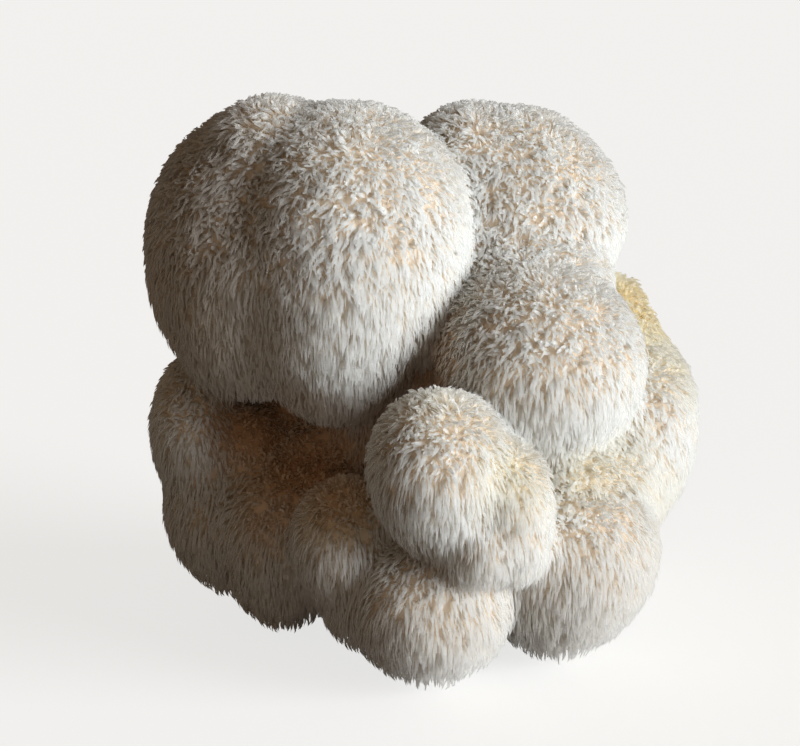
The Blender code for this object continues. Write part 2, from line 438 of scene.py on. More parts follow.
@dataclass
class Flesh:
    """The body under the spines, and what it says about the spine that grows at each place."""

    inset: float = 3.4 * MM
    under_lift: float = 2.6 * MM
    step: float = 4.0 * MM
    soften_steps: int = 6
    lobe_detail: int = 5
    neck_sides: int = 96
    neck_radius: float = 46.0
    neck_height: float = 44.0
    neck_overcut: float = 8.0
    cut_snap: float = 0.05 * MM
    cut_depth: float = 0.01 * MM
    bare_height: float = 7.0 * MM
    look_start: float = 1.0 * MM
    look_distance: float = 60 * MM
    look_ways: int = 14
    yellow_fade: float = 0.7
    felt_core: float = 1.6
    felt_level: float = 1.15
    felt_slope: float = 1.3
    crease_openness: float = 0.06
    crease_fade: float = 0.1
    steep_up: float = -0.75
    steep_cover: float = 0.6
    lobe_skin: float = 0.9
    obj: Object = field(init=False)

    def build(self) -> Object:
        """Makes the flesh and its attributes.

        Returns:
            The flesh's object, closed and cut off flat on the floor.
        """
        form = bmesh.new()
        for lobe in LOBES:
            self._add_lobe(form, lobe)
        self._add_neck(form)
        mesh = bpy.data.meshes.new("flesh")
        form.to_mesh(mesh)
        form.free()
        fused = self._fused(mesh)
        self._cut_flat(fused)
        self._lift_undersides(fused)
        self.obj = link(bpy.data.objects.new("flesh", fused))
        self._describe(fused)
        return self.obj

    def _add_lobe(self, form: bmesh.types.BMesh, lobe: Lobe) -> None:
        """Adds one egg-shaped lobe, smaller than its outer size by the inset.

        Args:
            form: the form that it is added to.
            lobe: the lobe.
        """
        made = bmesh.ops.create_icosphere(form, subdivisions=self.lobe_detail, radius=1.0)
        sizes = [radius * MM - self.inset for radius in lobe.radii]
        turn = Matrix.Rotation(radians(lobe.tilt), 3, "Y")
        centre = Vector(lobe.centre) * MM
        for vert in made["verts"]:
            width = 1.0 + lobe.taper * vert.co.z
            x = vert.co.x * sizes[0] * width
            y = vert.co.y * sizes[1] * width
            vert.co = centre + turn @ Vector((x, y, vert.co.z * sizes[2]))

    def _add_neck(self, form: bmesh.types.BMesh) -> None:
        """Adds the short neck that ends in the cut.

        Args:
            form: the form that it is added to.
        """
        middle = Vector((*CUT_CENTRE, (self.neck_height - self.neck_overcut) / 2)) * MM
        bmesh.ops.create_cone(
            form,
            cap_ends=True,
            segments=self.neck_sides,
            radius1=CUT_RADIUS * MM,
            radius2=self.neck_radius * MM,
            depth=(self.neck_height + self.neck_overcut) * MM,
            matrix=Matrix.Translation(middle),
        )

    def _fused(self, mesh: Mesh) -> Mesh:
        """Fuses the lobes.

        Args:
            mesh: the lobes and the neck, crossing each other.

        Returns:
            One body with softened creases.
        """
        carrier = link(bpy.data.objects.new("carrier", mesh))
        remesh = carrier.modifiers.new("fuse", "REMESH")
        remesh.mode = "VOXEL"
        remesh.voxel_size = self.step
        smooth = carrier.modifiers.new("soften", "SMOOTH")
        smooth.iterations = self.soften_steps
        return evaluated_mesh(carrier)

    def _cut_flat(self, mesh: Mesh) -> None:
        """Cuts the body off at the floor and closes it there.

        Args:
            mesh: the body, which is changed.
        """
        form = bmesh.new()
        form.from_mesh(mesh)
        bmesh.ops.bisect_plane(
            form,
            geom=form.verts[:] + form.edges[:] + form.faces[:],
            dist=self.cut_snap,
            plane_co=(0, 0, FLOOR_Z),
            plane_no=(0, 0, -1),
            clear_outer=True,
        )
        edges = [edge for edge in form.edges if edge.is_boundary]
        bmesh.ops.holes_fill(form, edges=edges, sides=0)
        bmesh.ops.triangulate(form, faces=[face for face in form.faces if len(face.verts) > 4])
        bmesh.ops.recalc_face_normals(form, faces=form.faces[:])
        form.to_mesh(mesh)
        form.free()

    def _lift_undersides(self, mesh: Mesh) -> None:
        """Draws the undersides in, for the longer spines that hang there.

        Args:
            mesh: the body, which is changed.
        """
        outward = [vert.normal.copy() for vert in mesh.vertices]
        for vert, normal in zip(mesh.vertices, outward):
            if vert.co.z > self.bare_height:
                vert.co -= normal * self.under_lift * max(0.0, -normal.z)

    def _describe(self, mesh: Mesh) -> None:
        """Stores, at each point of the mesh, what its spines and its colour depend on.

        Args:
            mesh: the body, which gets the attributes.
        """
        places = rows(mesh.vertices, "co")
        normals = rows(mesh.vertices, "normal")
        up = normals[:, 2]
        openness = self._openness(mesh, places, normals)
        yellow = np.zeros(len(places))
        for tint in YELLOW_PLACES:
            yellow += tint.strength * np.clip(tint.nearness(places), 0, 1) ** self.yellow_fade
        felt = np.zeros(len(places))
        for tint in FELTED_PLACES:
            core = np.clip(self.felt_core * tint.nearness(places), 0, 1)
            felt = np.maximum(felt, tint.strength * core)
        store(mesh, "way", normals, "FLOAT_VECTOR")
        store(mesh, "up", up)
        store(mesh, "openness", openness)
        store(mesh, "yellow", np.clip(yellow, 0, 1))
        store(mesh, "felt", felt * np.clip(self.felt_level + self.felt_slope * up, 0, 1))
        cover = np.clip((openness - self.crease_openness) / self.crease_fade, 0, 1)
        cover *= places[:, 2] > self.bare_height
        store(mesh, "cover", cover * np.where(up < self.steep_up, self.steep_cover, 1.0))
        store(mesh, "patch", self._patches(mesh), domain="FACE")

    def _openness(self, mesh: Mesh, places: np.ndarray, normals: np.ndarray) -> np.ndarray:
        """Looks from each point of the body into the space over it.

        Args:
            mesh: the body.
            places: its points.
            normals: the way out at each of them.

        Returns:
            How much free space each point sees, 0 in a closed crease and 1 in the open.
        """
        tree = BVHTree.FromPolygons(
            [tuple(place) for place in places],
            [tuple(polygon.vertices) for polygon in mesh.polygons],
        )
        ways = []
        for index in range(self.look_ways):
            height = (index + 0.5) / self.look_ways
            turn = index * GOLDEN_TURN
            flat = (1 - height * height) ** 0.5
            ways.append(Vector((flat * cos(turn), flat * sin(turn), height)))
        open_share = np.zeros(len(places))
        for index, (place, normal) in enumerate(zip(places, normals)):
            normal = Vector(normal)
            frame = normal.to_track_quat("Z", "Y")
            start = Vector(place) + normal * self.look_start
            for way in ways:
                hit = tree.ray_cast(start, frame @ way, self.look_distance)
                seen = self.look_distance if hit[3] is None else hit[3]
                open_share[index] += way.z * seen / self.look_distance
        return open_share / sum(way.z for way in ways)

    def _patches(self, mesh: Mesh) -> np.ndarray:
        """Shares the faces out among the patches.

        Args:
            mesh: the body.

        Returns:
            The number of each face's patch, which is that of its nearest lobe.
        """
        centres = rows(mesh.polygons, "center")
        nearest = np.full(len(centres), np.inf)
        patches = np.zeros(len(centres))
        for lobe in LOBES:
            turn = np.array(Matrix.Rotation(radians(-lobe.tilt), 3, "Y"))
            local = (centres - np.array(lobe.centre) * MM) @ turn.T
            depth = np.linalg.norm(local / (np.array(lobe.radii) * MM), axis=1)
            away = np.abs(depth - self.lobe_skin)
            closer = away < nearest
            nearest[closer] = away[closer]
            patches[closer] = lobe.patch.value
        return patches

    def dress(self, skin: Material, cut: Material) -> None:
        """Gives the flesh its finishes.

        Args:
            skin: the finish of everything but the cut.
            cut: the finish of the cut.
        """
        mesh = self.obj.data
        mesh.materials.append(skin)
        mesh.materials.append(cut)
        for polygon in mesh.polygons:
            on_cut = polygon.center.z < FLOOR_Z + self.cut_depth
            polygon.material_index = 1 if on_cut else 0
            polygon.use_smooth = not on_cut


# ---------- Spines ----------


@dataclass
class SpineCoat:
    """The spines, and the Geometry Nodes tree that grows them on the flesh.

    Sizes are in metres, and a grain is a noise's scale. crown is 1 on the crowns and 0 low on
    the sides, vigour is a random number of each spine, and felt is 1 where spines are matted.
    """

    spacing: float = 0.84 * MM
    most_per_area: float = 2.0e6
    thickness: float = 1.1 * MM
    out_top: float = 4.2 * MM
    out_side: float = 3.3 * MM
    out_under: float = 6.6 * MM
    hang: float = 7.2 * MM
    curl: float = 2.3 * MM
    tuft: float = 4.2 * MM
    tuft_pull: float = 0.30
    tuft_tall: float = 1.8
    hollow: float = 3.6 * MM
    hollow_squash: float = 0.6
    hollow_detail: float = 0.5
    hollow_share: float = 0.43
    hollow_on_top: float = 0.05
    hollow_luck: float = 0.16
    sway: float = 3.0 * MM
    crown_height: float = 5.0
    crown_waver: float = 0.9
    crown_grain: float = 60.0
    crown_detail: float = 1.0
    crown_limits: Range = (0.3, 1.25)
    thinning: float = 0.22
    fewest_rings: int = 2
    most_rings: int = 5
    short_share: float = 0.42
    middling_share: float = 0.72
    crown_rings: float = 0.4
    sides: int = 3
    width_spread: Range = (0.8, 1.2)
    taper_power: float = 2.6
    felt_thin: float = 0.25
    felt_short: float = 0.62
    crown_thick: float = 0.75
    crown_short: float = 0.5
    crown_loose: float = 0.35
    crease_limits: Range = (0.1, 0.6)
    crease_room: Range = (0.6, 1.0)
    vigour_length: Range = (0.52, 1.12)
    vigour_out: Range = (0.75, 1.0)
    tuft_spread: Range = (0.85, 1.15)
    tuft_swing: Range = (0.75, 1.25)
    crown_curl: Range = (0.15, 1.0)
    crown_swirl: Range = (0.34, 1.24)
    crown_sway: Range = (0.5, 1.3)
    curl_turn: Range = (1.3, 3.4)
    curl_share: float = 0.6
    swirl_share: float = 2.2
    swirl_grain: float = 80.0
    swirl_detail: float = 1.5
    loose_share: float = 0.42
    hang_power: float = 1.5
    tuft_power: float = 1.6
    swirl_power: float = 1.3
    rooted: float = 0.5 * MM
    off_floor: float = 0.6 * MM
    merged: float = 1e-6
    group: NodeTree = field(init=False)
    tree: Tree = field(init=False)
    given: Node = field(init=False)

    def build_tree(self) -> None:
        """Builds the tree that grows one patch of spines on the flesh."""
        self.group = bpy.data.node_groups.new("spine_coat", "GeometryNodeTree")
        face = self.group.interface
        face.new_socket("Flesh", in_out="INPUT", socket_type="NodeSocketGeometry")
        for name, value in self._sizes().items():
            socket = face.new_socket(name, in_out="INPUT", socket_type="NodeSocketFloat")
            socket.default_value = value
        face.new_socket("Finish", in_out="INPUT", socket_type="NodeSocketMaterial")
        face.new_socket("Spines", in_out="OUTPUT", socket_type="NodeSocketGeometry")
        tree = Tree(self.group)
        self.tree = tree
        self.given = tree.node("NodeGroupInput", {}, {})
        roots = self._roots()
        ring_counts = range(self.fewest_rings, self.most_rings + 1)
        strands = [self._strands(roots, rings) for rings in ring_counts]
        joined = tree.node("GeometryNodeJoinGeometry", {}, {"Geometry": strands})
        sockets = {"Geometry": joined, "Shade Smooth": False}
        flat = tree.node("GeometryNodeSetShadeSmooth", {}, sockets)
        whole = tree.node("GeometryNodeRealizeInstances", {}, {"Geometry": flat})
        sockets = {"Geometry": whole, "Material": self.given.outputs["Finish"]}
        dressed = tree.node("GeometryNodeSetMaterial", {}, sockets)
        tree.node("NodeGroupOutput", {}, {"Spines": dressed})

    def _sizes(self) -> dict[str, float]:
        """Lists the tree's number inputs.

        Returns:
            What each starts at, by its name.
        """
        return {
            "Patch": 0.0,
            "Spacing": self.spacing,
            "Thickness": self.thickness,
            "Out on top": self.out_top,
            "Out at the side": self.out_side,
            "Out underneath": self.out_under,
            "Hang": self.hang,
            "Curl": self.curl,
            "Tuft size": self.tuft,
            "Tuft pull": self.tuft_pull,
            "Hollow size": self.hollow,
            "Sway": self.sway,
        }

    def _size(self, name: str) -> Value:
        """One of the tree's number inputs."""
        return Value(self.tree, self.given.outputs[name])

    def _read(self, name: str) -> Value:
        """A number that the points carry under this name."""
        settings = {"data_type": "FLOAT"}
        return self.tree.number("GeometryNodeInputNamedAttribute", settings, {"Name": name})

    def _read_way(self, name: str) -> Arrow:
        """A vector that the points carry under this name."""
        settings = {"data_type": "FLOAT_VECTOR"}
        return self.tree.vector("GeometryNodeInputNamedAttribute", settings, {"Name": name})

    def _keep(self, geometry: Any, name: str, value: Any) -> Node:
        """Stores a number or a vector on the points.

        Args:
            geometry: the points.
            name: the name that it is read by later.
            value: the number or the vector.

        Returns:
            The node that gives the points on.
        """
        kind = "FLOAT_VECTOR" if isinstance(value, Arrow) else "FLOAT"
        settings = {"data_type": kind, "domain": "POINT"}
        sockets = {"Geometry": geometry, "Name": name, "Value": value}
        return self.tree.node("GeometryNodeStoreNamedAttribute", settings, sockets)

    def _chance(self, spread: Range, draw: Draw) -> Value:
        """A random number in the spread, one for each spine."""
        sockets = {"Min": spread[0], "Max": spread[1], "ID": self._read("spine"), "Seed": draw.value}
        return self.tree.number("FunctionNodeRandomValue", {"data_type": "FLOAT"}, sockets)

    def _chance_way(self, draw: Draw) -> Arrow:
        """A random vector, one for each spine."""
        sockets = {"Min": (-1, -1, -1), "Max": (1, 1, 1), "ID": self._read("spine"), "Seed": draw.value}
        return self.tree.vector("FunctionNodeRandomValue", {"data_type": "FLOAT_VECTOR"}, sockets)

    def _roots(self) -> Node:
        """Spreads the patch's roots and stores what each root's spine is like.

        Returns:
            The node that gives the roots on, as points.
        """
        tree = self.tree
        spread = tree.node(
            "GeometryNodeDistributePointsOnFaces",
            {"distribute_method": "POISSON"},
            {
                "Mesh": self.given.outputs["Flesh"],
                "Distance Min": self.given.outputs["Spacing"],
                "Density Max": self.most_per_area,
                "Density Factor": self._read("cover"),
                "Seed": Draw.ROOTS.value,
            },
        )
        place = tree.vector("GeometryNodeInputPosition", {}, {})
        crown = self._crown(place)
        ends = {"Min": 0.0, "Max": 1.0, "Seed": Draw.THINNING.value}
        luck = tree.number("FunctionNodeRandomValue", {"data_type": "FLOAT"}, ends)
        elsewhere = 1 - self._read("patch").equals(self._size("Patch"))
        thinned = (crown * self.thinning - luck).over(0.0)
        left_out = elsewhere.high(self._bare(place, luck)).high(thinned)
        points = tree.node(
            "GeometryNodeDeleteGeometry",
            {"domain": "POINT"},
            {"Geometry": spread.outputs["Points"], "Selection": left_out},
        )
        tuft_way, tuft_luck = self._tuft(place)
        kept = {
            "spine": tree.number("GeometryNodeInputIndex", {}, {}),
            "crown": crown,
            "tone": self._chance((0.0, 1.0), Draw.TONE),
            "vigour": self._chance((0.0, 1.0), Draw.VIGOUR),
            "rings": self._rings(),
            "tuft_way": tuft_way,
            "tuft_luck": tuft_luck,
        }
        for name, value in kept.items():
            points = self._keep(points, name, value)
        return points

    def _crown(self, place: Arrow) -> Value:
        """Finds the crowns: the places high on the body and on top of its lobes.

        Args:
            place: where the root is.

        Returns:
            How much the root is on a crown, from 0 to 1.
        """
        waver = self.tree.noise(place, self.crown_grain, self.crown_detail)
        height = place.parts()[2] * self.crown_height
        raised = self._read("up") + height + (waver - 0.5) * self.crown_waver
        return raised.ramp(*self.crown_limits)

    def _bare(self, place: Arrow, luck: Value) -> Value:
        """Thins the roots out in small hollows.

        Args:
            place: where the root is.
            luck: a random number for each root.

        Returns:
            1 for a root that is left out, and 0 for one that stays.
        """
        squashed = place.stretch((1.0, 1.0, self.hollow_squash))
        noise = self.tree.noise(squashed, 1 / self._size("Hollow size"), self.hollow_detail)
        share = self.hollow_share - self._read("up").high(0.0) * self.hollow_on_top
        return (share - noise - luck * self.hollow_luck).over(0.0)

    def _rings(self) -> Value:
        """Gives more rings of points to the longer and the curlier spines.

        Returns:
            How many rings a spine gets.
        """
        vigour = self._read("vigour")
        crown = self._read("crown")
        grown = vigour.over(self.short_share)
        more = 1 + crown.over(self.crown_rings) + vigour.over(self.middling_share)
        return grown * more + self.fewest_rings

    def _tuft(self, place: Arrow) -> tuple[Arrow, Arrow]:
        """Gathers the roots into tufts, which are taller than wide.

        Args:
            place: where the root is.

        Returns:
            The way along the surface to the middle of the root's tuft, and the tuft's luck,
            which is three random numbers.
        """
        sockets = {
            "Vector": place.stretch((1.0, 1.0, 1 / self.tuft_tall)),
            "Scale": 1 / self._size("Tuft size"),
        }
        cell = self.tree.node("ShaderNodeTexVoronoi", {"voronoi_dimensions": "3D"}, sockets)
        middle = Arrow(self.tree, cell.outputs["Position"]).stretch((1.0, 1.0, self.tuft_tall))
        normal = self._read_way("way").unit()
        return (middle - place).along_surface(normal), Arrow(self.tree, cell.outputs["Color"])

    def _strands(self, roots: Node, rings: int) -> Node:
        """Grows the spines that have so many rings of points.

        Args:
            roots: the node that gives all roots.
            rings: how many rings a spine has from its root to its tip.

        Returns:
            The node that gives the spines' meshes.
        """
        tree = self.tree
        split = tree.node(
            "GeometryNodeSeparateGeometry",
            {"domain": "POINT"},
            {"Geometry": roots, "Selection": self._read("rings").equals(rings)},
        )
        sockets = {"Geometry": split.outputs["Selection"], "Amount": rings}
        copies = tree.node("GeometryNodeDuplicateElements", {"domain": "POINT"}, sockets)
        step = Value(tree, copies.outputs["Duplicate Index"])
        points = self._keep(copies, "along", step * (1 / (rings - 1)))
        along = self._read("along")
        sockets = {"Geometry": points, "Position": self._place(along)}
        bent = tree.node("GeometryNodeSetPosition", {}, sockets)
        sockets = {"Points": bent, "Curve Group ID": self._read("spine"), "Weight": along}
        curves = tree.node("GeometryNodePointsToCurves", {}, sockets)
        sockets = {"Curve": curves, "Normal": self._read_way("way") * -1.0}
        faced = tree.node("GeometryNodeSetCurveNormal", {"mode": "FREE"}, sockets)
        sockets = {"Resolution": self.sides, "Radius": 0.5}
        profile = tree.node("GeometryNodeCurvePrimitiveCircle", {"mode": "RADIUS"}, sockets)
        width = (1 - along**self.taper_power) * self._chance(self.width_spread, Draw.WIDTH)
        width = self._size("Thickness") * width * (1 - self._read("felt") * self.felt_thin)
        width = width * (1 + self._read("crown") * self.crown_thick)
        sockets = {"Curve": faced, "Profile Curve": profile, "Scale": width, "Fill Caps": True}
        tubes = tree.node("GeometryNodeCurveToMesh", {}, sockets)
        sockets = {"Geometry": tubes, "Distance": self.merged}
        return tree.node("GeometryNodeMergeByDistance", {}, sockets)

    def _place(self, along: Value) -> Arrow:
        """Places a spine's points: out from its root, downhill, curled and tufted.

        Args:
            along: 0 at a spine's root and 1 at its tip.

        Returns:
            Where the point lies.
        """
        root = self.tree.vector("GeometryNodeInputPosition", {}, {})
        normal = self._read_way("way").unit()
        crown = self._read("crown")
        vigour = self._read("vigour")
        luck, stand, swing = self._read_way("tuft_luck").parts()
        room = self._read("openness").ramp(*self.crease_limits).between(*self.crease_room)
        room = room * (1 - self._read("felt") * self.felt_short)
        length = vigour.between(*self.vigour_length) * luck.between(*self.tuft_spread) * room
        out = self._out() * vigour.between(*self.vigour_out)
        out = out * stand.between(*self.tuft_spread) * room
        hang = self._size("Hang") * length * (1 - crown * self.crown_short)
        pull = self._size("Tuft pull") * swing.between(*self.tuft_swing)
        pull = pull * (1 - crown * self.crown_loose)
        down = self.tree.vector("ShaderNodeCombineXYZ", {}, {"Z": -1.0})
        place = root - normal * self.rooted
        place = place + normal * (out * (along * 2 - along**2) + self.rooted * along)
        place = place + down.along_surface(normal) * (hang * along**self.hang_power)
        place = place + self._swayed(root, normal, along, room)
        place = place + self._curled(normal, along, room)
        place = place + self._read_way("tuft_way") * (pull * along**self.tuft_power)
        x, y, z = place.parts()
        sockets = {"X": x, "Y": y, "Z": z.high(self.off_floor)}
        return self.tree.vector("ShaderNodeCombineXYZ", {}, sockets)

    def _out(self) -> Value:
        """Mixes the sizes for on top, at the side and underneath by where a spine grows.

        Returns:
            How far it stands out.
        """
        up = self._read("up")
        side = self._size("Out at the side")
        more_on_top = (self._size("Out on top") - side) * up.high(0.0)
        more_underneath = (self._size("Out underneath") - side) * (0 - up).high(0.0)
        return side + more_on_top + more_underneath

    def _swayed(self, root: Arrow, normal: Arrow, along: Value, room: Value) -> Arrow:
        """Bends a spine to a side, partly with its neighbours and partly by itself.

        Args:
            root: where the spine's root is.
            normal: the way out there.
            along: 0 at the root and 1 at the tip.
            room: how much of its size the spine has room for.

        Returns:
            How far the point is moved.
        """
        crown = self._read("crown")
        sway = self._size("Sway") * room
        sockets = {"Vector": root, "Scale": self.swirl_grain, "Detail": self.swirl_detail}
        swirl = self.tree.vector("ShaderNodeTexNoise", {}, sockets, "Color")
        swirl = (swirl - (0.5, 0.5, 0.5)).along_surface(normal)
        loose = self._chance_way(Draw.LOOSE).along_surface(normal)
        together = sway * self.swirl_share * along**self.swirl_power
        alone = sway * self.loose_share * along
        swirl = swirl * (together * crown.between(*self.crown_swirl))
        return swirl + loose * (alone * crown.between(*self.crown_sway))

    def _curled(self, normal: Arrow, along: Value, room: Value) -> Arrow:
        """Curls a spine round a random side.

        Args:
            normal: the way out at its root.
            along: 0 at the root and 1 at the tip.
            room: how much of its size the spine has room for.

        Returns:
            How far the point is moved.
        """
        first = self._chance_way(Draw.CURL_WAY).along_surface(normal).unit()
        curl = self._size("Curl") * self._read("crown").between(*self.crown_curl) * room
        curl = curl * self.curl_share
        angle = along * self._chance(self.curl_turn, Draw.CURL_TURN)
        bend = first * (curl * (1 - angle.cosine()))
        return bend + normal.cross(first) * (curl * angle.sine())

    def grow(self, flesh: Object, patch: Patch, finish: Material) -> Object:
        """Grows the spines of one patch.

        Args:
            flesh: the body that they grow on.
            patch: the patch to grow.
            finish: the spines' material.

        Returns:
            A plain mesh object of the patch's spines.
        """
        carrier = link(bpy.data.objects.new("carrier", flesh.data))
        modifier = carrier.modifiers.new("coat", "NODES")
        modifier.node_group = self.group
        items = self.group.interface.items_tree
        sockets = {item.name: item.identifier for item in items if item.in_out == "INPUT"}
        modifier[sockets["Patch"]] = float(patch.value)
        modifier[sockets["Finish"]] = finish
        mesh = evaluated_mesh(carrier)
        mesh.name = patch.piece_name
        return link(bpy.data.objects.new(patch.piece_name, mesh))


# ---------- Finishes ----------


@dataclass(frozen=True)
class SpineFinish:
    """Fresh spines: creamy white, tan where they leave the flesh, yellow on a few crowns.

    They are brown where felted, and carry painted shade: browner in creases, and darker low down and at
    the far left, the shadow side.
    Light goes through them, and a part of the light that they would shade passes.
    """

    tip: Colour = (0.965, 0.968, 0.96, 1)
    shaft: Colour = (0.95, 0.95, 0.925, 1)
    root: Colour = (0.90, 0.76, 0.59, 1)
    low_root: Colour = (0.89, 0.83, 0.74, 1)
    lemon: Colour = (0.95, 0.89, 0.70, 1)
    yellow: Colour = (0.88, 0.70, 0.28, 1)
    # Brown of felted spines, and painted shade in creases.
    shade_and_felt_brown: Colour = (0.76, 0.49, 0.27, 1)
    # Painted shade: the colour low down, and next the colour at the far left, the shadow side.
    low: Colour = (0.60, 0.50, 0.40, 1)
    left_shade: Colour = (0.64, 0.47, 0.28, 1)
    through: Colour = (0.97, 0.965, 0.94, 1)
    shaft_start: Range = (0.05, 0.48)
    tip_start: Range = (0.45, 1.0)
    # Painted crease shade: the openness where it starts and ends, and how strong it is; then how brown
    # felt and crease shade make a spine.
    crease_shade_limits: Range = (0.05, 0.35)
    crease_shade_share: float = 0.4
    shade_and_felt_share: float = 0.9
    ripe_tones: Range = (0.65, 1.0)
    # Painted shade low down and at the far left: its heights, its reach across, and its strengths.
    low_shade_heights: Range = (0.02, 0.09)
    left_shade_across: Range = (0.03, 0.11)
    left_shade_heights: Range = (0.09, 0.13)
    left_shade_top: Range = (0.13, 0.20)
    low_shade_share: float = 0.25
    left_shade_share: float = 0.45
    tone_share: float = 0.07
    clear_share: float = 0.5
    lets_through: float = 0.68
    roughness: float = 0.5
    gloss: float = 0.35

    def make(self) -> Material:
        """Builds the spines' material.

        Returns:
            The material.
        """
        material, tree, shader = new_material("mushroom_spines")
        # Brown of felt and painted crease shade; where it is strong the spines also let less light
        # through.
        shade_and_felt = crease_shade_and_felt(tree, self.crease_shade_limits, self.crease_shade_share)
        sockets = {"Base Color": self._painted_shade_and_tone(tree, self._grown(tree, shade_and_felt))}
        sockets.update({"Roughness": self.roughness, "Specular IOR Level": self.gloss})
        tree.give(shader, sockets)
        through = tree.node("ShaderNodeBsdfTranslucent", {}, {"Color": self.through})
        sockets = {0: (1 - shade_and_felt) * self.clear_share, 1: shader, 2: through}
        both = tree.node("ShaderNodeMixShader", {}, sockets)
        lamp = tree.number("ShaderNodeLightPath", {}, {}, "Is Shadow Ray")
        clear = tree.node("ShaderNodeBsdfTransparent", {}, {})
        sockets = {0: lamp * (1 - shade_and_felt) * self.lets_through, 1: both, 2: clear}
        seen = tree.node("ShaderNodeMixShader", {}, sockets)
        tree.node("ShaderNodeOutputMaterial", {}, {"Surface": seen})
        return material

    def _grown(self, tree: Tree, shade_and_felt: Value) -> Arrow:
        """Colours a spine from its root to its tip.

        Args:
            tree: the material's tree.
            shade_and_felt: how brown it is, from felt and from painted crease shade.

        Returns:
            The colour.
        """
        along = tree.attribute("along")
        root = tree.mixed(underside(tree), self.root, self.low_root)
        colour = tree.mixed(along.ramp(*self.shaft_start), root, self.shaft)
        colour = tree.mixed(along.ramp(*self.tip_start), colour, self.tip)
        share = tree.attribute("tone").between(*self.ripe_tones)
        colour = ripened(tree, colour, self.lemon, self.yellow, share)
        # Browner with felt and with painted crease shade.
        return tree.mixed(shade_and_felt * self.shade_and_felt_share, colour, self.shade_and_felt_brown)

    def _painted_shade_and_tone(self, tree: Tree, colour: Arrow) -> Arrow:
        """Paints shade low down and at the far left, the shadow side, and dims the colour a little from
        spine to spine at random.

        Args:
            tree: the material's tree.
            colour: the fresh colour.

        Returns:
            The colour with its painted shade and its random tone.
        """
        across, _, height = tree.vector("ShaderNodeTexCoord", {}, {}, "Object").parts()
        # Painted shade: darker low down, and browner at the far left.
        low = 1 - height.ramp(*self.low_shade_heights)
        left_shade = (0 - across).ramp(*self.left_shade_across) * height.ramp(*self.left_shade_heights)
        dim_colour = tree.mixed(height.ramp(*self.left_shade_top), self.left_shade, self.low)
        dim_colour = tree.mixed(low, dim_colour, self.low)
        tone = tree.attribute("tone") * self.tone_share
        return tree.mixed(low * self.low_shade_share + left_shade * self.left_shade_share + tone, colour, dim_colour)


@dataclass(frozen=True)
class FleshFinish:
    """The flesh between the spines: tan, and orange-brown where it is felted and, as painted shade, in
    creases, with dark speckles there.
    """

    open_colour: Colour = (0.85, 0.70, 0.53, 1)
    low: Colour = (0.86, 0.80, 0.71, 1)
    lemon: Colour = (0.90, 0.82, 0.58, 1)
    yellow: Colour = (0.84, 0.62, 0.24, 1)
    # Brown of felt, and painted shade in creases.
    shade_and_felt_brown: Colour = (0.74, 0.44, 0.23, 1)
    speckle: Colour = (0.40, 0.24, 0.12, 1)
    # Painted crease shade: the openness where it starts and ends, and how strong it is.
    crease_shade_limits: Range = (0.05, 0.45)
    crease_shade_share: float = 0.6
    mottle_scale: float = 90.0
    mottle_detail: float = 4.0
    mottle_limits: Range = (0.4, 0.6)
    speckle_share: float = 0.7
    grain_scale: float = 600.0
    grain_detail: float = 3.0
    grain_depth: float = 0.4 * MM
    grain_strength: float = 0.4
    roughness: float = 0.6

    def make(self) -> Material:
        """Builds the flesh's material.

        Returns:
            The material.
        """
        material, tree, shader = new_material("mushroom_flesh")
        place = tree.vector("ShaderNodeTexCoord", {}, {}, "Object")
        mottle = tree.noise(place, self.mottle_scale, self.mottle_detail)
        mottle = mottle.ramp(*self.mottle_limits)
        # Felt and painted crease shade: browner, with darker speckles in both.
        shade_and_felt = crease_shade_and_felt(tree, self.crease_shade_limits, self.crease_shade_share)
        colour = tree.mixed(underside(tree), self.open_colour, self.low)
        colour = ripened(tree, colour, self.lemon, self.yellow, 1.0)
        colour = tree.mixed(shade_and_felt, colour, self.shade_and_felt_brown)
        colour = tree.mixed(mottle * shade_and_felt * self.speckle_share, colour, self.speckle)
        grain = tree.noise(place, self.grain_scale, self.grain_detail)
        grain = tree.bump(self.grain_strength, self.grain_depth, grain)
        sockets = {"Base Color": colour, "Roughness": self.roughness, "Normal": grain}
        tree.give(shader, sockets)
        tree.node("ShaderNodeOutputMaterial", {}, {"Surface": shader})
        return material


@dataclass(frozen=True)
class CutFinish:
    """The cut underneath: pale, dense, faintly fibrous flesh, tan towards its rim."""

    middle: Colour = (0.82, 0.76, 0.64, 1)
    rim: Colour = (0.62, 0.46, 0.30, 1)
    fibres: Colour = (0.70, 0.56, 0.38, 1)
    rim_limits: Range = (0.7 * CUT_RADIUS * MM, 1.05 * CUT_RADIUS * MM)
    rim_waver: float = 10 * MM
    fibre_scale: float = 160.0
    fibre_detail: float = 5.0
    fibre_twist: float = 1.2
    fibre_limits: Range = (0.5, 0.8)
    fibre_share: float = 0.3
    ridge_depth: float = 0.5 * MM
    ridge_strength: float = 0.5
    roughness: float = 0.7

    def make(self) -> Material:
        """Builds the cut's material.

        Returns:
            The material.
        """
        material, tree, shader = new_material("mushroom_cut")
        place = tree.vector("ShaderNodeTexCoord", {}, {}, "Object")
        away = (place - (CUT_CENTRE[0] * MM, CUT_CENTRE[1] * MM, 0.0)).length()
        fibre = tree.noise(place, self.fibre_scale, self.fibre_detail, self.fibre_twist)
        edge = (away + (fibre - 0.5) * self.rim_waver).ramp(*self.rim_limits)
        colour = tree.mixed(edge, self.middle, self.rim)
        colour = tree.mixed(fibre.ramp(*self.fibre_limits) * self.fibre_share, colour, self.fibres)
        ridges = tree.bump(self.ridge_strength, self.ridge_depth, fibre)
        sockets = {"Base Color": colour, "Roughness": self.roughness, "Normal": ridges}
        tree.give(shader, sockets)
        tree.node("ShaderNodeOutputMaterial", {}, {"Surface": shader})
        return material


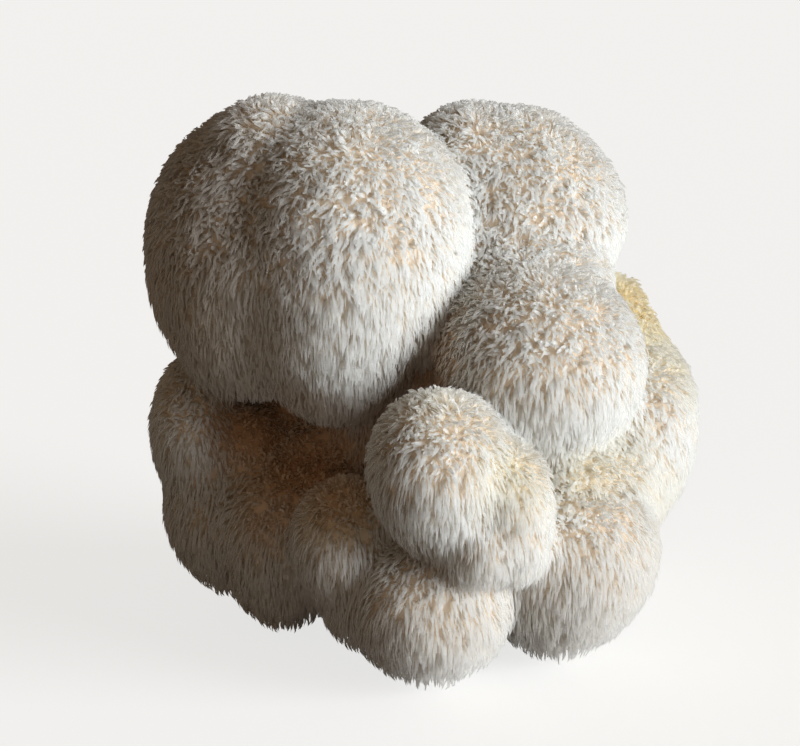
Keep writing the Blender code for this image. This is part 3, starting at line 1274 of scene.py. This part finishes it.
def new_material(name: str) -> tuple[Material, Tree, Node]:
    """Starts a material.

    Args:
        name: its name.

    Returns:
        The material, its emptied tree, and a Principled shader in it.
    """
    material = bpy.data.materials.new(name)
    material.use_nodes = True
    material.node_tree.nodes.clear()
    tree = Tree(material.node_tree)
    return material, tree, tree.node("ShaderNodeBsdfPrincipled", {}, {})


def underside(tree: Tree) -> Value:
    """0 where the surface looks up or aside, and 1 where it looks well down."""
    return (0 - tree.attribute("up")).ramp(*UNDERSIDE_LIMITS)


def crease_shade_and_felt(tree: Tree, limits: Range, share: float) -> Value:
    """How brown a place is: painted crease shade, up to the share where the place sees little open
    space, and the brown of felt, up to 1 where it is felted.
    """
    # Painted shade: the less open space a place sees, the browner it is.
    crease_shade = 1 - tree.attribute("openness").ramp(*limits)
    return (crease_shade * share).high(tree.attribute("felt"))


def ripened(tree: Tree, colour: Arrow, lemon: Colour, yellow: Colour, share: Any) -> Arrow:
    """Turns a colour lemon and then yellow at the yellow places.

    Args:
        tree: the material's tree.
        colour: the colour elsewhere.
        lemon: the faint yellow.
        yellow: the strong one.
        share: how much of it shows.

    Returns:
        The colour.
    """
    ripe = tree.attribute("yellow")
    tint = tree.mixed(ripe.ramp(*YELLOW_LIMITS), lemon, yellow)
    return tree.mixed(ripe.ramp(*LEMON_LIMITS) * share, colour, tint)


# ---------- Studio ----------


@dataclass(frozen=True)
class Lamp:
    """A sun lamp: the way it shines from, its strength, its breadth in degrees, its colour."""

    name: str
    way: Triple
    strength: float
    breadth: float
    colour: Triple

    def build(self) -> None:
        """Adds the lamp to the scene."""
        data = bpy.data.lights.new(self.name, "SUN")
        data.energy = self.strength
        data.angle = radians(self.breadth)
        data.color = self.colour
        lamp = link(bpy.data.objects.new(self.name, data))
        lamp.rotation_euler = Vector(self.way).to_track_quat("Z", "Y").to_euler()


@dataclass(frozen=True)
class Studio:
    """The camera at the photograph's angle, two lamps, a pale floor and a pale wall.

    key is a broad cool lamp from the right, and front a weak warm one from the front.
    """

    elevation: float = 15.0
    distance: float = 0.9
    object_scale: float = 336 * MM
    target: Triple = (-0.010, 0.006, 0.112)
    sensor: float = 36.0
    key: Lamp = Lamp("key", (0.925, -0.33, 0.20), 3.4, 36.0, (0.93, 0.99, 1.07))
    front: Lamp = Lamp("front", (-0.35, -0.92, -0.05), 0.20, 70.0, (1.0, 0.76, 0.56))
    fill_colour: Colour = (1.0, 0.73, 0.50, 1)
    fill_strength: float = 0.105
    pale: Colour = (0.93, 0.93, 0.92, 1)
    floor_size: float = 12.0
    floor_colour: Colour = (0.42, 0.41, 0.39, 1)
    floor_roughness: float = 0.9
    floor_glow: float = 0.8
    wall_glow: float = 1.0

    def build(self) -> None:
        """Sets up the whole studio."""
        bpy.context.scene.view_settings.view_transform = "Standard"
        self._camera()
        self.key.build()
        self.front.build()
        self._floor()
        self._world()

    def _camera(self) -> None:
        """Places the camera so that the frame spans object_scale at the middle."""
        data = bpy.data.cameras.new("camera")
        data.sensor_width = self.sensor
        data.sensor_fit = "HORIZONTAL"
        data.lens = self.sensor * self.distance / self.object_scale
        camera = link(bpy.data.objects.new("camera", data))
        rise = radians(self.elevation)
        away = Vector((0, -cos(rise), sin(rise))) * self.distance
        camera.location = Vector(self.target) + away
        camera.rotation_euler = (-away).to_track_quat("-Z", "Y").to_euler()
        bpy.context.scene.camera = camera

    def _floor(self) -> None:
        """The pale floor, which looks paler than it lights."""
        form = bmesh.new()
        bmesh.ops.create_grid(form, x_segments=1, y_segments=1, size=self.floor_size)
        mesh = bpy.data.meshes.new("floor")
        form.to_mesh(mesh)
        form.free()
        floor = link(bpy.data.objects.new("floor", mesh))
        floor.location.z = FLOOR_Z
        material, tree, shader = new_material("floor")
        tree.give(shader, {"Base Color": self.floor_colour, "Roughness": self.floor_roughness})
        sockets = {"Color": self.pale, "Strength": self.floor_glow}
        glow = tree.node("ShaderNodeEmission", {}, sockets)
        both = tree.node("ShaderNodeAddShader", {}, {0: shader, 1: glow})
        seen = tree.number("ShaderNodeLightPath", {}, {}, "Is Camera Ray")
        mixed = tree.node("ShaderNodeMixShader", {}, {0: seen, 1: shader, 2: both})
        tree.node("ShaderNodeOutputMaterial", {}, {"Surface": mixed})
        mesh.materials.append(material)

    def _world(self) -> None:
        """Dim warm light from all round, in front of a pale wall."""
        world = bpy.data.worlds.new("studio")
        world.use_nodes = True
        bpy.context.scene.world = world
        world.node_tree.nodes.clear()
        tree = Tree(world.node_tree)
        sockets = {"Color": self.fill_colour, "Strength": self.fill_strength}
        fill = tree.node("ShaderNodeBackground", {}, sockets)
        sockets = {"Color": self.pale, "Strength": self.wall_glow}
        wall = tree.node("ShaderNodeBackground", {}, sockets)
        seen = tree.number("ShaderNodeLightPath", {}, {}, "Is Camera Ray")
        mixed = tree.node("ShaderNodeMixShader", {}, {0: seen, 1: fill, 2: wall})
        tree.node("ShaderNodeOutputWorld", {}, {"Surface": mixed})


# ---------- Helpers ----------


def link(obj: Object) -> Object:
    """Puts an object in the scene and returns it."""
    bpy.context.scene.collection.objects.link(obj)
    return obj


def evaluated_mesh(carrier: Object) -> Mesh:
    """Applies an object's modifiers.

    Args:
        carrier: the object, which is removed.

    Returns:
        The mesh that its modifiers make.
    """
    graph = bpy.context.evaluated_depsgraph_get()
    mesh = bpy.data.meshes.new_from_object(
        carrier.evaluated_get(graph), preserve_all_data_layers=True, depsgraph=graph
    )
    bpy.data.objects.remove(carrier, do_unlink=True)
    return mesh


def rows(items: Any, name: str) -> np.ndarray:
    """Reads one vector from each vertex or polygon of a mesh.

    Args:
        items: the vertices or polygons.
        name: the vector's name.

    Returns:
        The vectors as rows.
    """
    numbers = np.empty(len(items) * 3)
    items.foreach_get(name, numbers)
    return numbers.reshape(-1, 3)


def store(mesh: Mesh, name: str, values: np.ndarray, kind: str = "FLOAT", domain: str = "POINT") -> None:
    """Stores values on a mesh.

    Args:
        mesh: the mesh.
        name: the name that they are read by later.
        values: a number or a vector for each point or face.
        kind: FLOAT or FLOAT_VECTOR.
        domain: POINT or FACE.
    """
    layer = mesh.attributes.new(name, kind, domain)
    field_name = "vector" if kind == "FLOAT_VECTOR" else "value"
    layer.data.foreach_set(field_name, np.asarray(values, dtype=np.float32).ravel())


def hand_in(piece: Object) -> None:
    """Makes a finished mesh part of the object.

    Args:
        piece: the mesh's object.
    """
    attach(piece, BODY)
    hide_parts(NODE)
    piece.data.calc_loop_triangles()
    log.info("%s: %d triangles", piece.name, len(piece.data.loop_triangles))


def main() -> None:
    """Builds the mushroom and the studio."""
    logging.basicConfig(level=logging.INFO, format="%(message)s")
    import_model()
    flesh = Flesh()
    flesh.build()
    spines = SpineFinish().make()
    coat = SpineCoat()
    coat.build_tree()
    for patch in Patch:
        hand_in(coat.grow(flesh.obj, patch, spines))
    flesh.dress(FleshFinish().make(), CutFinish().make())
    hand_in(flesh.obj)
    Studio().build()


if __name__ == "__main__":
    main()
